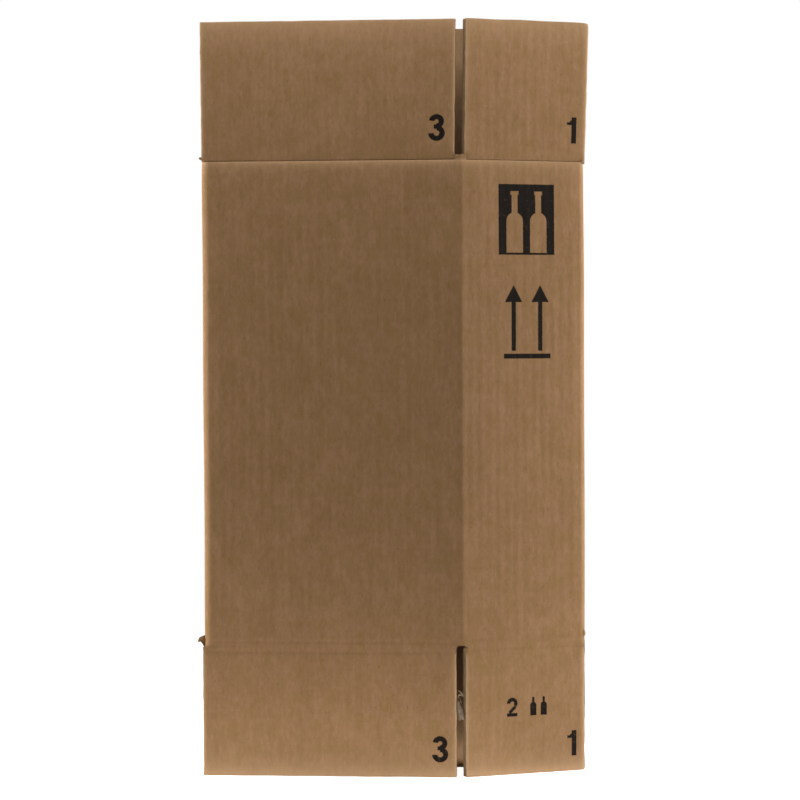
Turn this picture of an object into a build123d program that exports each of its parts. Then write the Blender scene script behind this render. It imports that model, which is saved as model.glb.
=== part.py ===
"""A two-bottle shipping carton of fluted board, empty and standing on end.

The carton is a folded tube that has been pushed over, so its plan is a slanted
parallelogram, with four flaps standing straight up and four hanging straight down.
Millimetres, +Z up, front towards -Y, origin on the floor under the middle of the plan.
"""

import os
from collections import namedtuple
from math import asin, atan2, cos, degrees, floor, radians, sin, tan

from build123d import *

os.makedirs("parts", exist_ok=True)

# Carton
inner_wide = 195.0  # inside of a wide panel, fold to fold
inner_narrow = 98.0  # inside of a narrow panel, fold to fold
lean = 25.0  # degrees the front upright fold is bent, 90 when the carton is square
body_height = 380.0  # lower fold to upper fold
top_flap = 109.0  # upper fold to free edge
bottom_flap = 101.0  # lower fold to free edge

# Board
board = 7.0  # double-wall board
liner = 0.5  # each outer sheet
middle_liner = 0.4  # sheet between the two rows of flutes
outer_flute = 3.5  # height of the row nearer the outside
outer_pitch = 7.65  # one wave of that row
inner_pitch = 6.3  # one wave of the row nearer the inside
medium = 0.35  # fluted sheet
crushed = 9.0  # length beside a score where the flutes are pressed shut
edge_groove = 1.2  # depth of the open flute along a cut edge

# Folds and slots
slot_width = 8.0  # slot between two flaps, along the outer sheet
slot_short = 4.0  # how far a top slot stops above the fold
slot_over = 2.0  # how far a bottom slot runs up into the walls
web_gap = 0.3  # side clearance of the web left at a slot's end
wide_reach = 8.2  # a wide flap runs this far past an acute fold
narrow_reach = 5.6  # a narrow flap runs this far past an acute fold
nose_gap = 0.15  # each flap's clearance from the plane between two flaps at an acute fold
top_score = 0.9  # depth of the score outside, upper folds
top_rise = 1.5  # half the width of that score
bottom_score = 1.3  # depth of the score outside, lower folds
bottom_rise = 4.6  # half the width of that score
inside_score = 1.8  # depth of the score inside, all folds

# Glued joint
lap_length = 35.0  # flap glued inside the back panel
raw_edge_gap = 1.0  # raw edge of the back panel from the bend of the lap
lap_taper = 12.0  # each end of the lap slants by this much

cutter_past = 1.0  # how far a score's cutter runs past a flap's cut sides

inner_flute = board - 2 * liner - middle_liner - outer_flute
lower_fold = bottom_flap
upper_fold = bottom_flap + body_height
slot_half = (slot_width - board * radians(lean)) / 2
web_half = slot_half - web_gap


# Plan: a and d are the blunt folds, b and c the sharp ones
slant = Vector(inner_narrow * cos(radians(lean)), inner_narrow * sin(radians(lean)))
b = Vector(-(inner_wide + slant.X) / 2, -slant.Y / 2)
a = Vector(b.X + inner_wide, b.Y)
c = Vector(-b.X, -b.Y)

# The lap lies inside the back panel, so its fold d is one board nearer and the left panel is shorter
inner_left = inner_narrow - board
left_lean = degrees(asin((slant.Y - board) / inner_left))
d = Vector(b.X + inner_left * cos(radians(left_lean)), c.Y - board)
back_corner = Vector(d.X, c.Y)
raw_edge = d.X + raw_edge_gap

front_heading = 180.0
left_heading = left_lean
back_heading = 0.0
right_heading = 180.0 + lean


def along(heading):
    """Unit vector along a panel."""
    return Vector(cos(radians(heading)), sin(radians(heading)))


def outward(heading):
    """Unit vector out of a panel."""
    return Vector(-sin(radians(heading)), cos(radians(heading)))


def bend(corner, first, last):
    """Pie slice of board round an upright fold, between two panels' outward directions."""
    start = corner + outward(first) * board
    stop = corner + outward(last) * board
    middle = corner + (outward(first) + outward(last)).normalized() * board
    with BuildSketch() as slice_of_board:
        with BuildLine():
            Line(corner, start)
            ThreePointArc(start, middle, stop)
            Line(stop, corner)
        make_face()
    return slice_of_board.sketch


def round_front_fold(half_width):
    """Plan of the board round the blunt front fold, this far along each of its two panels."""
    with BuildSketch() as strip:
        add(bend(a, right_heading, front_heading))
        with Locations(Location((a.X, a.Y), front_heading)):
            Rectangle(half_width, board, align=(Align.MIN, Align.MIN))
        with Locations(Location((a.X, a.Y), right_heading)):
            Rectangle(half_width, board, align=(Align.MAX, Align.MIN))
    return strip.sketch


def score(corner, heading, first, last, level, outside_depth, rise):
    """The two V grooves that a score presses into both faces of one panel."""
    start = corner + along(heading) * first
    with BuildPart() as grooves:
        with BuildSketch(Plane(origin=(start.X, start.Y, level), x_dir=outward(heading), z_dir=along(heading))):
            for face, depth, side in ((board, outside_depth, 1), (0, inside_score, -1)):
                with BuildLine():
                    Polyline(
                        (face - side * depth, 0),
                        (face, rise),
                        (face + side * board, rise),
                        (face + side * board, -rise),
                        (face, -rise),
                        close=True,
                    )
                make_face()
        extrude(amount=last - first)
    return grooves.part


def flutes(first, last, low, high, pitch):
    """Sketch of the gaps between two sheets that a fluted sheet leaves, in a panel's plan."""
    count = floor((last - first) / pitch - 0.5)
    begin = first + (last - first - (count + 0.5) * pitch) / 2
    slope = atan2(high - low, pitch / 2)
    side_inset = medium / 2 / sin(slope)
    tip_inset = medium / 2 / cos(slope)
    with BuildSketch() as gaps:
        for step in range(count):
            left = begin + step * pitch
            with BuildLine():
                Polyline(
                    (left + side_inset, low),
                    (left + pitch - side_inset, low),
                    (left + pitch / 2, high - tip_inset),
                    close=True,
                )
            make_face()
            with BuildLine():
                Polyline(
                    (left + pitch / 2 + side_inset, high),
                    (left + 3 * pitch / 2 - side_inset, high),
                    (left + pitch, low + tip_inset),
                    close=True,
                )
            make_face()
    return gaps.sketch


# Rows of flutes, measured outwards from the inner face
inner_row = (liner, liner + inner_flute)
outer_row = (liner + inner_flute + middle_liner, board - liner)

# A panel starts at its corner and runs along its heading. first and last are its flaps' two ends
# along it. half is half the angle of the sharp fold beside it, which is at its start or at its end.
Panel = namedtuple("Panel", "corner heading length first last half sharp_first")
panels = {
    "front": Panel(a, front_heading, inner_wide, slot_half, inner_wide + wide_reach, left_lean / 2, False),
    "left": Panel(b, left_heading, inner_left, -narrow_reach, inner_left - slot_half, left_lean / 2, True),
    "back": Panel(back_corner, back_heading, c.X - d.X, raw_edge_gap, c.X - d.X + wide_reach, lean / 2, False),
    "right": Panel(c, right_heading, inner_narrow, -narrow_reach, inner_narrow - slot_half, lean / 2, True),
}


# The tube: four panels, four bends and the lap
with BuildPart() as carton_body:
    with BuildSketch(Plane.XY.offset(lower_fold)):
        for corner, heading, length in (
            (a, front_heading, inner_wide),
            (b, left_heading, inner_left),
            (Vector(raw_edge, c.Y), back_heading, c.X - raw_edge),
            (c, right_heading, inner_narrow),
        ):
            with Locations(Location((corner.X, corner.Y), heading)):
                Rectangle(length, board, align=(Align.MIN, Align.MIN))
        add(bend(a, right_heading, front_heading))
        add(bend(b, front_heading, left_heading))
        add(bend(c, back_heading, right_heading))
        add(bend(d, left_heading, back_heading))
    extrude(amount=body_height)

    # Lap glued flat on the back panel's inner face, with slanted ends
    with BuildSketch(Plane(origin=(d.X, c.Y, 0), x_dir=(1, 0, 0), z_dir=(0, -1, 0))):
        with BuildLine():
            Polyline(
                (0, lower_fold),
                (lap_length, lower_fold + lap_taper),
                (lap_length, upper_fold - lap_taper),
                (0, upper_fold),
                close=True,
            )
        make_face()
    extrude(amount=board)

    # Open flutes down the back panel's raw edge
    with BuildSketch(Plane.XY.offset(lower_fold)):
        for low, high in (inner_row, outer_row):
            with Locations((raw_edge, c.Y + low)):
                Rectangle(edge_groove, high - low, align=(Align.MIN, Align.MIN))
    extrude(amount=body_height, mode=Mode.SUBTRACT)

    # Scores
    for panel in panels.values():
        for level, depth, rise in ((lower_fold, bottom_score, bottom_rise), (upper_fold, top_score, top_rise)):
            add(score(panel.corner, panel.heading, 0, panel.length, level, depth, rise), mode=Mode.SUBTRACT)

    # The bottom slot runs up into the walls, and the top slot stops short and leaves a web
    with BuildSketch(Plane.XY.offset(lower_fold)):
        add(round_front_fold(slot_half))
    extrude(amount=slot_over, mode=Mode.SUBTRACT)
    with BuildSketch(Plane.XY.offset(upper_fold)):
        add(round_front_fold(web_half))
    extrude(amount=slot_short)
carton_body.part.label = "carton_body"


def flap(panel, fold, height):
    """One flap standing off a fold: positive height upwards, negative downwards."""
    first, last = panel.first, panel.last
    rising = 1 if height > 0 else -1
    depth, rise = (top_score, top_rise) if height > 0 else (bottom_score, bottom_rise)

    # The inner face is cut back beside the sharp fold, where the next flap's nose lies against it
    clear = nose_gap / sin(radians(panel.half))
    slope = tan(radians(panel.half))
    if panel.sharp_first:
        inner_face = [(first, (clear - first) * slope), (clear, 0), (last, 0)]
    else:
        turn = panel.length - clear
        inner_face = [(first, 0), (turn, 0), (last, (last - turn) * slope)]
    plan = [*inner_face, (last, board), (first, board)]

    x_dir = along(panel.heading)
    base = Plane(origin=(panel.corner.X, panel.corner.Y, fold), x_dir=x_dir, z_dir=(0, 0, 1))
    free_edge = base.offset(height)
    blunt = last - edge_groove if panel.sharp_first else first
    with BuildPart() as piece:
        with BuildSketch(base):
            with BuildLine():
                Polyline(*plan, close=True)
            make_face()
        extrude(amount=height)

        # Flutes run from the free edge to the crushed strip beside the score
        inset = edge_groove + medium
        inner_first = first + inset + (narrow_reach if panel.sharp_first else 0)
        inner_last = last - inset - (0 if panel.sharp_first else wide_reach)
        with BuildSketch(free_edge):
            add(flutes(inner_first, inner_last, *inner_row, inner_pitch))
            add(flutes(first + inset, last - inset, *outer_row, outer_pitch))
            with Locations((blunt, inner_row[0])):
                Rectangle(edge_groove, inner_flute, align=(Align.MIN, Align.MIN))
            with Locations((first, outer_row[0]), (last - edge_groove, outer_row[0])):
                Rectangle(edge_groove, outer_flute, align=(Align.MIN, Align.MIN))
        extrude(amount=-rising * (abs(height) - crushed), mode=Mode.SUBTRACT)
        start, stop = first - cutter_past, last + cutter_past
        add(score(panel.corner, panel.heading, start, stop, fold, depth, rise), mode=Mode.SUBTRACT)
    return piece.part


export_step(carton_body.part, "parts/carton_body.step")
for name, panel in panels.items():
    for end, fold, height in (("top", upper_fold, top_flap), ("bottom", lower_fold, -bottom_flap)):
        label = f"{end}_flap_{name}"
        piece = flap(panel, fold, height)
        piece.label = label
        export_step(piece, f"parts/{label}.step")
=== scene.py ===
from math import asin, cos, degrees, exp, hypot, pi, radians, sin, tan

import bmesh
import bpy
from mathutils import Matrix, Vector, noise


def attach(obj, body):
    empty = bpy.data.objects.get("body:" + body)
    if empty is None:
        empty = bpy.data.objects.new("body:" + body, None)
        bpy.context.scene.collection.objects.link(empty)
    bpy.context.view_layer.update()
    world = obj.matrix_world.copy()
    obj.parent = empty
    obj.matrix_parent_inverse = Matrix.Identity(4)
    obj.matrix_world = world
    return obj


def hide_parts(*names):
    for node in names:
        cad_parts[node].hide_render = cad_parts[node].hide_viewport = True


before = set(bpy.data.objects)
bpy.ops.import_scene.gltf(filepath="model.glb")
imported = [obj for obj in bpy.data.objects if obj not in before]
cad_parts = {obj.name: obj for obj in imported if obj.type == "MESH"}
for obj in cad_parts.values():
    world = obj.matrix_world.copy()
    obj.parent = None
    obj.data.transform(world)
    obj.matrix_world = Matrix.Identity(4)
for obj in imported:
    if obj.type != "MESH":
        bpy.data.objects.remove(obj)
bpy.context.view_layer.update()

# Sizes of the carton in millimetres, the same as in the solids
carton = {
    "innerWide": 195.0,
    "innerNarrow": 98.0,
    "lean": 25.0,
    "bodyHeight": 380.0,
    "topFlap": 109.0,
    "bottomFlap": 101.0,
    "board": 7.0,
    "liner": 0.5,
    "middleLiner": 0.4,
    "outerFlute": 3.5,
    "outerPitch": 7.65,
    "innerPitch": 6.3,
    "medium": 0.35,
    "slotWidth": 8.0,
    "slotShort": 4.0,
    "wideReach": 8.2,
    "narrowReach": 5.6,
    "noseGap": 0.15,
    "lapLength": 35.0,
    "lapTaper": 12.0,
    "rawEdgeGap": 1.0,
}
metre = 0.001
board = carton["board"]
lowerFold = carton["bottomFlap"]
upperFold = lowerFold + carton["bodyHeight"]
slotHalf = (carton["slotWidth"] - board * radians(carton["lean"])) / 2

# Plan of the tube: a and d are the blunt folds, b and c the sharp ones
slantX = carton["innerNarrow"] * cos(radians(carton["lean"]))
slantY = carton["innerNarrow"] * sin(radians(carton["lean"]))
cornerB = Vector((-(carton["innerWide"] + slantX) / 2, -slantY / 2))
cornerA = Vector((cornerB.x + carton["innerWide"], cornerB.y))
cornerC = Vector((-cornerB.x, -cornerB.y))
innerLeft = carton["innerNarrow"] - board
leftLean = degrees(asin((slantY - board) / innerLeft))
cornerD = Vector((cornerB.x + innerLeft * cos(radians(leftLean)), cornerC.y - board))
backCorner = Vector((cornerD.x, cornerC.y))
rawEdge = cornerD.x + carton["rawEdgeGap"]

# Each side: where it starts, its heading, its flap's two ends, half the angle of the sharp fold beside it,
# and whether that fold is at its start
sides = {
    "front": (cornerA, 180.0, slotHalf, carton["innerWide"] + carton["wideReach"], leftLean / 2, False),
    "left": (cornerB, leftLean, -carton["narrowReach"], innerLeft - slotHalf, leftLean / 2, True),
    "back": (backCorner, 0.0, carton["rawEdgeGap"], cornerC.x - cornerD.x + carton["wideReach"],
             carton["lean"] / 2, False),
    "right": (cornerC, 180.0 + carton["lean"], -carton["narrowReach"], carton["innerNarrow"] - slotHalf,
              carton["lean"] / 2, True),
}


def heading2d(angle):
    return Vector((cos(radians(angle)), sin(radians(angle))))


def outward2d(angle):
    return Vector((-sin(radians(angle)), cos(radians(angle))))


def smoothStep(low, high, value):
    t = min(1.0, max(0.0, (value - low) / (high - low)))
    return t * t * (3 - 2 * t)


def wobble(x, y, z, scale, seed):
    return noise.noise(Vector((x / scale + seed, y / scale - seed, z / scale + seed * 0.7)))


# How far the scores press the outside of the board in, by the distance from the fold
score = {
    "topDepth": 1.7,
    "topRollBelow": 3.4,  # the wall rolls in over this far below the top fold
    "topRollAbove": 3.5,
    "flapBehind": 1.1,  # how far behind the wall a top flap starts
    "bottomDepth": 0.5,
    "bottomAt": (4.6, -3.3),
    "bottomWidth": 1.7,
    "inside": 1.6,
    "insideWidth": 2.4,
}


def outerPress(level, away):
    # away is signed: above the fold is positive
    if level == "top":
        if away > 0:
            return (score["topDepth"] - score["flapBehind"]) * exp(-away / score["topRollAbove"])
        return score["topDepth"] * exp(away / score["topRollBelow"])
    return sum(
        score["bottomDepth"] * exp(-((away - at) / score["bottomWidth"]) ** 2) for at in score["bottomAt"]
    )


def innerPress(away):
    return score["inside"] * exp(-(away / score["insideWidth"]) ** 2)


def newObject(name, data):
    piece = bpy.data.objects.new(name, data)
    bpy.context.scene.collection.objects.link(piece)
    return piece


def meshFrom(name, vertices, faces, uvs=None):
    mesh = bpy.data.meshes.new(name)
    mesh.from_pydata([tuple(v) for v in vertices], [], faces)
    mesh.validate()
    if uvs is not None:
        layer = mesh.uv_layers.new(name="boardUv")
        for loop in mesh.loops:
            layer.data[loop.index].uv = uvs[loop.vertex_index]
    return mesh


def slabMesh(name, columns, rows, place, uvAt):
    # A closed slab of two sheets, rows x columns; place(side, column, row) gives a point
    wide, tall = len(columns), len(rows)
    vertices, uvs, faces = [], [], []
    for side in (0, 1):
        for row in rows:
            for column in columns:
                vertices.append(place(side, column, row))
                uvs.append(uvAt(column, row))
    def at(side, i, j):
        return side * wide * tall + j * wide + i
    for j in range(tall - 1):
        for i in range(wide - 1):
            faces.append((at(1, i, j), at(1, i, j + 1), at(1, i + 1, j + 1), at(1, i + 1, j)))
            faces.append((at(0, i, j), at(0, i + 1, j), at(0, i + 1, j + 1), at(0, i, j + 1)))
    for i in range(wide - 1):
        faces.append((at(0, i, 0), at(1, i, 0), at(1, i + 1, 0), at(0, i + 1, 0)))
        faces.append((at(0, i, tall - 1), at(0, i + 1, tall - 1), at(1, i + 1, tall - 1), at(1, i, tall - 1)))
    for j in range(tall - 1):
        faces.append((at(0, 0, j), at(0, 0, j + 1), at(1, 0, j + 1), at(1, 0, j)))
        faces.append((at(0, wide - 1, j), at(1, wide - 1, j), at(1, wide - 1, j + 1), at(0, wide - 1, j + 1)))
    mesh = meshFrom(name, vertices, faces, uvs)
    sheetFaces = 2 * (wide - 1) * (tall - 1)
    for polygon in mesh.polygons[sheetFaces:]:
        polygon.material_index = 1
    faceOutwards(mesh)
    return mesh


def faceOutwards(mesh, recalculate=False):
    work = bmesh.new()
    work.from_mesh(mesh)
    if recalculate:
        bmesh.ops.recalc_face_normals(work, faces=work.faces)
    if work.calc_volume(signed=True) < 0:
        bmesh.ops.reverse_faces(work, faces=work.faces)
    work.to_mesh(mesh)
    work.free()


def steps(first, last, spacing):
    count = max(1, round(abs(last - first) / spacing))
    return [first + (last - first) * i / count for i in range(count + 1)]


def runs(start, *parts):
    # Positions along a line in several runs, each given by its end and its spacing
    out = [start]
    for end, spacing in parts:
        out += steps(start, end, spacing)[1:]
        start = end
    return out


# Node helpers. What goes into a socket is a plain value or another node's output
def put(tree, socket, value):
    if isinstance(value, bpy.types.NodeSocket):
        tree.links.new(value, socket)
    else:
        socket.default_value = value


def addNode(tree, kind, inputs=None, **settings):
    node = tree.nodes.new(kind)
    count = len(tree.nodes)
    node.location = (220 * (count % 12), -260 * (count // 12))
    for key, value in settings.items():
        setattr(node, key, value)
    for key, value in (inputs or {}).items():
        put(tree, node.inputs[key], value)
    return node


def newTree(kind, name, inputs, outputs):
    # A socket is given by its default number, or by its kind in a word
    tree = bpy.data.node_groups.new(name, kind)
    for way, sockets in (("INPUT", inputs), ("OUTPUT", outputs)):
        for socketName, value in sockets.items():
            word = value if isinstance(value, str) else type(value).__name__.capitalize()
            socket = tree.interface.new_socket(socketName, in_out=way, socket_type="NodeSocket" + word)
            if word != value:
                socket.default_value = value
    return tree, addNode(tree, "NodeGroupInput").outputs


def mathNode(tree, operation, *values):
    return addNode(tree, "ShaderNodeMath", dict(enumerate(values)), operation=operation).outputs[0]


def times(tree, first, second):
    return mathNode(tree, "MULTIPLY", first, second)


def plus(tree, first, share, second):
    # A share of the first value, added to the second
    return mathNode(tree, "MULTIPLY_ADD", first, share, second)


def minus(tree, first, second):
    return mathNode(tree, "SUBTRACT", first, second)


def absolute(tree, value):
    return mathNode(tree, "ABSOLUTE", value)


def larger(tree, first, second):
    return mathNode(tree, "MAXIMUM", first, second)


def mixColour(tree, factor, first, second):
    return addNode(tree, "ShaderNodeMix", {0: factor, 6: first, 7: second}, data_type="RGBA").outputs[2]


def noiseNode(tree, vector, scale, detail=2.0, roughness=0.5, distortion=0.0):
    return addNode(tree, "ShaderNodeTexNoise", {
        "Vector": vector, "Scale": scale, "Detail": detail, "Roughness": roughness, "Distortion": distortion,
    }).outputs["Fac"]


def mapRange(tree, value, low, high, toLow=0.0, toHigh=1.0):
    sizes = dict(enumerate((value, low, high, toLow, toHigh)))
    return addNode(tree, "ShaderNodeMapRange", sizes).outputs[0]


def stretched(tree, vector, scale):
    return addNode(tree, "ShaderNodeVectorMath", {0: vector, 1: scale}, operation="MULTIPLY").outputs[0]


def split(tree, vector):
    return addNode(tree, "ShaderNodeSeparateXYZ", {0: vector}).outputs


def combine(tree, *values):
    return addNode(tree, "ShaderNodeCombineXYZ", dict(enumerate(values))).outputs[0]


# Paper fibres: mottling and flecks of unbleached kraft, the same wherever paper shows.
# Each layer of noise: stretch of its coordinates, scale, detail, roughness and distortion
paper = {
    "cloud": ((1.0, 1.0, 0.6), 38.0, 2.0, 0.5),
    "grain": ((1.0, 1.0, 0.45), 420.0, 3.0, 0.6),
    "streak": ((1.0, 1.0, 0.08), 260.0, 2.0, 0.55),
    "weave": ((0.12, 0.12, 1.0), 240.0, 2.0, 0.55),
    "upright": ((1.0, 1.0, 0.22), 900.0, 2.0, 0.55, 1.2),
    "lying": ((0.3, 0.3, 1.0), 800.0, 2.0, 0.55, 1.4),
    "darkFleck": ((0.8, 0.8, 0.5), 620.0, 1.0, 0.5),
    "fine": ((1.0, 1.0, 1.0), 1500.0, 2.0, 0.6),
    "blotch": ((1.0, 1.0, 0.7), 105.0, 3.0, 0.6),
}
paperMix = {
    "mottle": {"grain": 0.45, "streak": 0.2, "weave": 0.1, "cloud": 0.25},  # share of each layer
    "uprightFleck": (0.60, 0.74),  # noise at which a fleck starts and is full
    "lyingFleck": (0.62, 0.76),
    "darkFleck": (0.66, 0.78),
    "height": {"grain": 0.5, "fine": 0.35},
    "fleckHeight": 0.35,
}


def mixLayers(tree, layers, shares):
    total = None
    for name, share in shares.items():
        total = times(tree, layers[name], share) if total is None else plus(tree, layers[name], share, total)
    return total


def makeFibreGroup():
    tree, given = newTree("ShaderNodeTree", "paperFibres", {"Vector": "Vector"}, {
        "Mottle": "Float", "Blotch": "Float", "Fleck": "Float", "Dark Fleck": "Float", "Height": "Float",
    })
    layers = {}
    for name, (stretch, *sizes) in paper.items():
        layers[name] = noiseNode(tree, stretched(tree, given["Vector"], stretch), *sizes)
    upright = mapRange(tree, layers["upright"], *paperMix["uprightFleck"])
    lying = mapRange(tree, layers["lying"], *paperMix["lyingFleck"])
    fleck = larger(tree, upright, lying)
    height = mixLayers(tree, layers, paperMix["height"])
    addNode(tree, "NodeGroupOutput", {
        "Mottle": mixLayers(tree, layers, paperMix["mottle"]),
        "Blotch": layers["blotch"],
        "Fleck": fleck,
        "Dark Fleck": mapRange(tree, layers["darkFleck"], *paperMix["darkFleck"]),
        "Height": plus(tree, fleck, paperMix["fleckHeight"], height),
    })
    return tree


# Flutes showing through the outer sheet, along the board's own U
washboard = {
    "drift": 1.6,  # how far the ridges wander, in radians
    "driftScale": 14.0,
    "patchScale": 30.0,
    "patchStretch": (1.0, 0.25, 1.0),
    "patches": (0.35, 0.7, 0.45, 1.0),  # where the ridges are faint and where they are full
}


def makeWashboardGroup():
    inputs = {"UV": "Vector", "Pitch": 0.00765}
    tree, given = newTree("ShaderNodeTree", "washboard", inputs, {"Ridge": "Float"})
    wander = minus(tree, noiseNode(tree, given["UV"], washboard["driftScale"], 1.0), 0.5)
    turns = mathNode(tree, "DIVIDE", split(tree, given["UV"])[0], given["Pitch"])
    phase = plus(tree, turns, 2 * pi, times(tree, wander, washboard["drift"]))
    spot = stretched(tree, given["UV"], washboard["patchStretch"])
    patches = noiseNode(tree, spot, washboard["patchScale"], 2.0)
    strength = mapRange(tree, patches, *washboard["patches"])
    addNode(tree, "NodeGroupOutput", {"Ridge": times(tree, mathNode(tree, "SINE", phase), strength)})
    return tree


# Distance outside simple printed shapes, in metres on the board's UV
def newInk(name, at, sizes):
    # The group of one kind of shape, its inputs, and the spot as counted from the shape's own place
    inputs = {"UV": "Vector", at: "Vector", **sizes}
    tree, given = newTree("ShaderNodeTree", name, inputs, {"Distance": "Float"})
    shift = addNode(tree, "ShaderNodeVectorMath", {0: given["UV"], 1: given[at]}, operation="SUBTRACT")
    return tree, given, shift.outputs[0]


def makeInkBar():
    tree, given, spot = newInk("inkBar", "Centre", {"Half Width": 0.01, "Half Height": 0.01, "Turn": 0.0})
    inputs = {"Vector": spot, "Angle": given["Turn"]}
    turned = addNode(tree, "ShaderNodeVectorRotate", inputs, rotation_type="Z_AXIS")
    x, y = split(tree, turned.outputs[0])[:2]
    across = minus(tree, absolute(tree, x), given["Half Width"])
    along = minus(tree, absolute(tree, y), given["Half Height"])
    addNode(tree, "NodeGroupOutput", {0: larger(tree, across, along)})
    return tree


def makeInkArc():
    sizes = {"Radius": 0.01, "Half Stroke": 0.002, "Middle": 0.0, "Half Sweep": 1.0, "Flatten": 1.0}
    tree, given, spot = newInk("inkArc", "Centre", sizes)
    x, y = split(tree, spot)[:2]
    x = mathNode(tree, "DIVIDE", x, given["Flatten"])
    far = mathNode(tree, "SQRT", mathNode(tree, "ADD", times(tree, x, x), times(tree, y, y)))
    ring = minus(tree, absolute(tree, minus(tree, far, given["Radius"])), given["Half Stroke"])
    angle = minus(tree, mathNode(tree, "ARCTAN2", y, x), given["Middle"])
    past = minus(tree, absolute(tree, mathNode(tree, "WRAP", angle, pi, -pi)), given["Half Sweep"])
    addNode(tree, "NodeGroupOutput", {0: larger(tree, ring, times(tree, past, given["Radius"]))})
    return tree


def makeInkTriangle():
    tree, given, spot = newInk("inkTriangle", "Tip", {"Half Width": 0.01, "Height": 0.01})
    x, y = split(tree, spot)[:2]
    below = times(tree, y, -1.0)
    ratio = mathNode(tree, "DIVIDE", given["Half Width"], given["Height"])
    across = minus(tree, absolute(tree, x), times(tree, below, ratio))
    addNode(tree, "NodeGroupOutput", {0: larger(tree, across, minus(tree, below, given["Height"]))})
    return tree


fibreGroup = makeFibreGroup()
washboardGroup = makeWashboardGroup()
inkGroups = {"bar": makeInkBar(), "arc": makeInkArc(), "triangle": makeInkTriangle()}
notLengths = ("Turn", "Middle", "Half Sweep", "Flatten")


def bar(x, y, halfWidth, halfHeight, turn=0.0):
    return "bar", {"Centre": (x, y), "Half Width": halfWidth, "Half Height": halfHeight, "Turn": turn}


def arc(x, y, radius, halfStroke, middle, halfSweep, flatten=1.0):
    return "arc", {"Centre": (x, y), "Radius": radius, "Half Stroke": halfStroke, "Middle": middle,
                   "Half Sweep": halfSweep, "Flatten": flatten}


def inkShape(tree, uv, kind, sizes):
    node = addNode(tree, "ShaderNodeGroup", {"UV": uv}, node_tree=inkGroups[kind])
    for key, value in sizes.items():
        if isinstance(value, tuple):
            value = (value[0] * metre, value[1] * metre, 0.0)
        elif key not in notLengths:
            value *= metre
        elif key != "Flatten":
            value = radians(value)
        node.inputs[key].default_value = value
    return node.outputs[0]


# Plain numerals from bars and arcs, in shares of their height from the middle of the foot
numerals = {
    1: [bar(0.06, 0.5, 0.1007, 0.5), bar(-0.08, 0.755, 0.15, 0.05), bar(-0.02, 0.85, 0.11, 0.05, -42.0)],
    2: [arc(0.0, 0.7, 0.205, 0.095, 68.0, 112.0, 1.02), bar(0.005, 0.35, 0.235, 0.0855, -43.0),
        bar(0.0, 0.085, 0.3, 0.085)],
    3: [arc(-0.005, 0.73, 0.175, 0.095, 38.0, 134.0, 1.05), arc(0.0, 0.295, 0.2, 0.095, -43.0, 134.0, 1.05),
        bar(-0.02, 0.535, 0.08, 0.075)],
    4: [bar(0.1, 0.5, 0.095, 0.5), bar(-0.01, 0.27, 0.32, 0.08), bar(-0.1, 0.62, 0.36, 0.08, -56.0)],
}


def numeral(figure, x, y, high):
    # x, y is the middle of the foot, in mm
    placed = []
    for kind, sizes in numerals[figure]:
        across, up = sizes["Centre"]
        grown = {"Centre": (x + across * high, y + up * high)}
        for key, value in sizes.items():
            if key != "Centre":
                grown[key] = value if key in notLengths else value * high
        placed.append((kind, grown))
    return placed


def sRgb(red, green, blue):
    def channel(value):
        value = value / 255
        return value / 12.92 if value <= 0.04045 else ((value + 0.055) / 1.055) ** 2.4
    return (channel(red), channel(green), channel(blue), 1.0)


# Colours and surface of the board; reaches and heights are in metres
kraft = {
    "light": sRgb(164, 127, 92),
    "dark": sRgb(148, 112, 78),
    "mottle": (0.38, 0.62),  # mottling at which the sheet is all dark and all light
    "olive": sRgb(138, 108, 62),
    "blotch": (0.42, 0.62),
    "blotches": 0.4,
    "insideBlotches": 0.13,
    "fleck": sRgb(186, 150, 112),
    "flecks": 0.26,
    "darkFleck": sRgb(98, 70, 45),
    "darkFlecks": 0.24,
    "inside": (sRgb(166, 132, 97), sRgb(184, 150, 114)),
    "edge": (sRgb(170, 142, 110), sRgb(200, 172, 138)),
    "flute": (sRgb(150, 130, 104), sRgb(184, 164, 136)),
    "scrap": (sRgb(96, 71, 44), sRgb(124, 95, 62)),
    "shred": (sRgb(126, 110, 92), sRgb(164, 148, 126)),
    # pale colour of rubbed wear, also used for the painted highlights
    "paleWearAndHighlight": sRgb(206, 168, 128),
    "uneven": (0.8, 0.6),  # how much of the pale bands (wear and painted highlights) follows the mottling, and how much is everywhere
    "rub": (0.42, 0.011),  # wear towards a free edge: strength and reach
    # painted highlight along a bottom flap's lowest edge, for light from the floor: strength and reach
    "footHighlight": (1.0, 0.0045),
    # painted highlight along the cut sides of the slots: strength and reach
    "sideHighlight": (0.9, 0.0012),
    "sideClear": (0.003, 0.007),  # the painted highlight on the cut sides starts this far from the fold
    "sideLeast": 0.05,  # share of its reach that is left at the fold
    # painted highlight along the top fold: strength and reach
    "foldHighlight": (0.5, 0.0038),
    "foldEnd": 5.0,  # above the fold that painted highlight ends this much sooner
    "roughness": 0.78,
    "fleckSmooth": 0.08,
    "gloss": 0.08,
    "fibreBump": 0.00006,
    "ridgeHeight": 0.00005,
    "ridgeTint": 0.035,
}
ink = {
    "colour": sRgb(20, 14, 9),
    "bleedScale": 1400.0,
    "bleed": 0.0007,  # how far the ink's edge strays
    "edge": (-0.00012, 0.00022, 1.0, 0.0),
    "thin": (0.2, 1.0, 1.0, 0.86),  # it covers less on the flecks
    "smooth": 0.14,
}


def worn(tree, away, uneven, band, colour):
    # Paper paler near an edge or the fold, fading with the distance from it: rubbed wear towards a free edge,
    # and painted highlight along the cut sides, the lowest edge and the top fold
    strength, reach = kraft[band]
    fade = mathNode(tree, "EXPONENT", mathNode(tree, "DIVIDE", away, -reach))
    return mixColour(tree, times(tree, times(tree, fade, uneven), strength), colour, kraft["paleWearAndHighlight"])


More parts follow.
